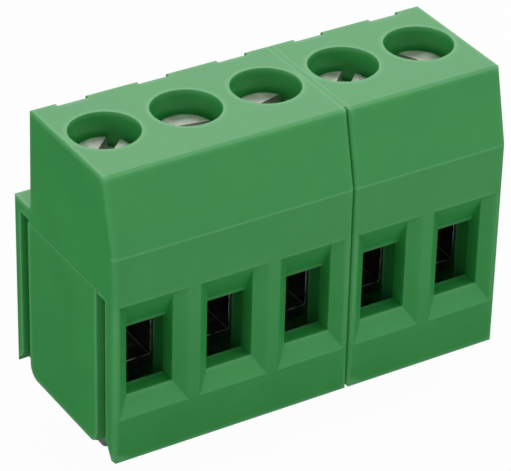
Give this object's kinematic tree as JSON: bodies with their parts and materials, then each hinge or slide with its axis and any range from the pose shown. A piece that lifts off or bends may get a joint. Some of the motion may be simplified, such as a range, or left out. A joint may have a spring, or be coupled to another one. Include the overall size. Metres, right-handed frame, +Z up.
{
  "type": "pcb screw terminal",
  "caption": "Rising-clamp screw terminal for a printed circuit board: two keyed green blocks in one row, slotted screws on top, wire windows in front, solder pins below",
  "frame": {"origin": "on the board face, at the middle of the solder pin row", "axes": "+X along the row, +Y to the back (the wire entries face -Y), +Z up off the board"},
  "size_m": [0.0262, 0.0116, 0.0207],
  "materials": {
    "green_polyamide": "Moulded green plastic with a soft sheen",
    "zinc_steel": "Zinc-plated steel, matte",
    "nickel_brass": "Nickel-plated brass, satin",
    "tin_copper": "Tinned copper alloy, dull"
  },
  "bodies": {
    "block": {"left_housing": "green_polyamide", "right_housing": "green_polyamide", "contact_1": "tin_copper", "contact_2": "tin_copper", "contact_3": "tin_copper", "contact_4": "tin_copper", "contact_5": "tin_copper", "solder_pin_1": "tin_copper", "solder_pin_2": "tin_copper", "solder_pin_3": "tin_copper", "solder_pin_4": "tin_copper", "solder_pin_5": "tin_copper"},
    "screw_1": {"screw_1": "zinc_steel"},
    "clamp_1": {"clamp_1": "nickel_brass"},
    "screw_2": {"screw_2": "zinc_steel"},
    "clamp_2": {"clamp_2": "nickel_brass"},
    "screw_3": {"screw_3": "zinc_steel"},
    "clamp_3": {"clamp_3": "nickel_brass"},
    "screw_4": {"screw_4": "zinc_steel"},
    "clamp_4": {"clamp_4": "nickel_brass"},
    "screw_5": {"screw_5": "zinc_steel"},
    "clamp_5": {"clamp_5": "nickel_brass"}
  },
  "joints": [
    {"name": "screw_turn_1", "type": "hinge", "parent": "block", "child": "screw_1", "pos_m": [-0.01016, 0.00004, 0.0152], "axis": [0, 0, -1], "range_deg": [0, 2340]},
    {"name": "clamp_rise_1", "type": "slide", "parent": "block", "child": "clamp_1", "axis": [0, 0, 1], "range_m": [0, 0.00325]},
    {"name": "screw_turn_2", "type": "hinge", "parent": "block", "child": "screw_2", "pos_m": [-0.00508, 0.00004, 0.0152], "axis": [0, 0, -1], "range_deg": [0, 2340]},
    {"name": "clamp_rise_2", "type": "slide", "parent": "block", "child": "clamp_2", "axis": [0, 0, 1], "range_m": [0, 0.00325]},
    {"name": "screw_turn_3", "type": "hinge", "parent": "block", "child": "screw_3", "pos_m": [0, 0.00004, 0.0152], "axis": [0, 0, -1], "range_deg": [0, 2340]},
    {"name": "clamp_rise_3", "type": "slide", "parent": "block", "child": "clamp_3", "axis": [0, 0, 1], "range_m": [0, 0.00325]},
    {"name": "screw_turn_4", "type": "hinge", "parent": "block", "child": "screw_4", "pos_m": [0.00508, 0.00004, 0.0152], "axis": [0, 0, -1], "range_deg": [0, 2340]},
    {"name": "clamp_rise_4", "type": "slide", "parent": "block", "child": "clamp_4", "axis": [0, 0, 1], "range_m": [0, 0.00325]},
    {"name": "screw_turn_5", "type": "hinge", "parent": "block", "child": "screw_5", "pos_m": [0.01016, 0.00004, 0.0152], "axis": [0, 0, -1], "range_deg": [0, 2340]},
    {"name": "clamp_rise_5", "type": "slide", "parent": "block", "child": "clamp_5", "axis": [0, 0, 1], "range_m": [0, 0.00325]}
  ],
  "couplings": [
    {"joint": "screw_turn_1", "follows": "clamp_rise_1", "rad_per_m": 12566},
    {"joint": "screw_turn_2", "follows": "clamp_rise_2", "rad_per_m": 12566},
    {"joint": "screw_turn_3", "follows": "clamp_rise_3", "rad_per_m": 12566},
    {"joint": "screw_turn_4", "follows": "clamp_rise_4", "rad_per_m": 12566},
    {"joint": "screw_turn_5", "follows": "clamp_rise_5", "rad_per_m": 12566}
  ]
}
